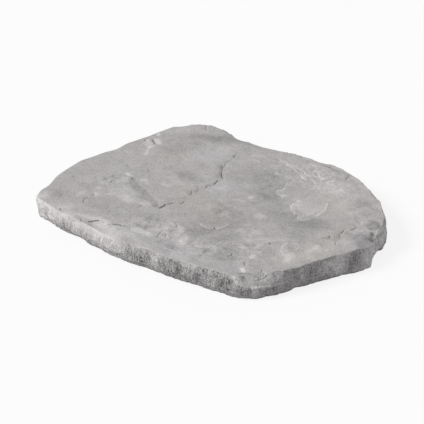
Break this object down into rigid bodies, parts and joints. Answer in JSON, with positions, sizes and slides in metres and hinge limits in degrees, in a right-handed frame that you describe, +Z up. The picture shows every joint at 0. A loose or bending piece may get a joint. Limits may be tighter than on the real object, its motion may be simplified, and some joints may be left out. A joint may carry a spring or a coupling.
{
  "type": "garden stepping stone",
  "caption": "Irregular flat paving slab with a riven walking face, rock-faced sides and a level base, laid singly in lawn or gravel to step on.",
  "frame": {"origin": "middle of the plan, on the flat base", "axes": "+X along the length, +Y across the width towards the edge with the long hollow bay, +Z up out of the walking face"},
  "size_m": [0.504, 0.403, 0.0379],
  "materials": {
    "concrete": "matt grey cast concrete, riven top and rock-faced sides"
  },
  "bodies": {
    "root": {"stepping_stone": "concrete"}
  },
  "joints": []
}
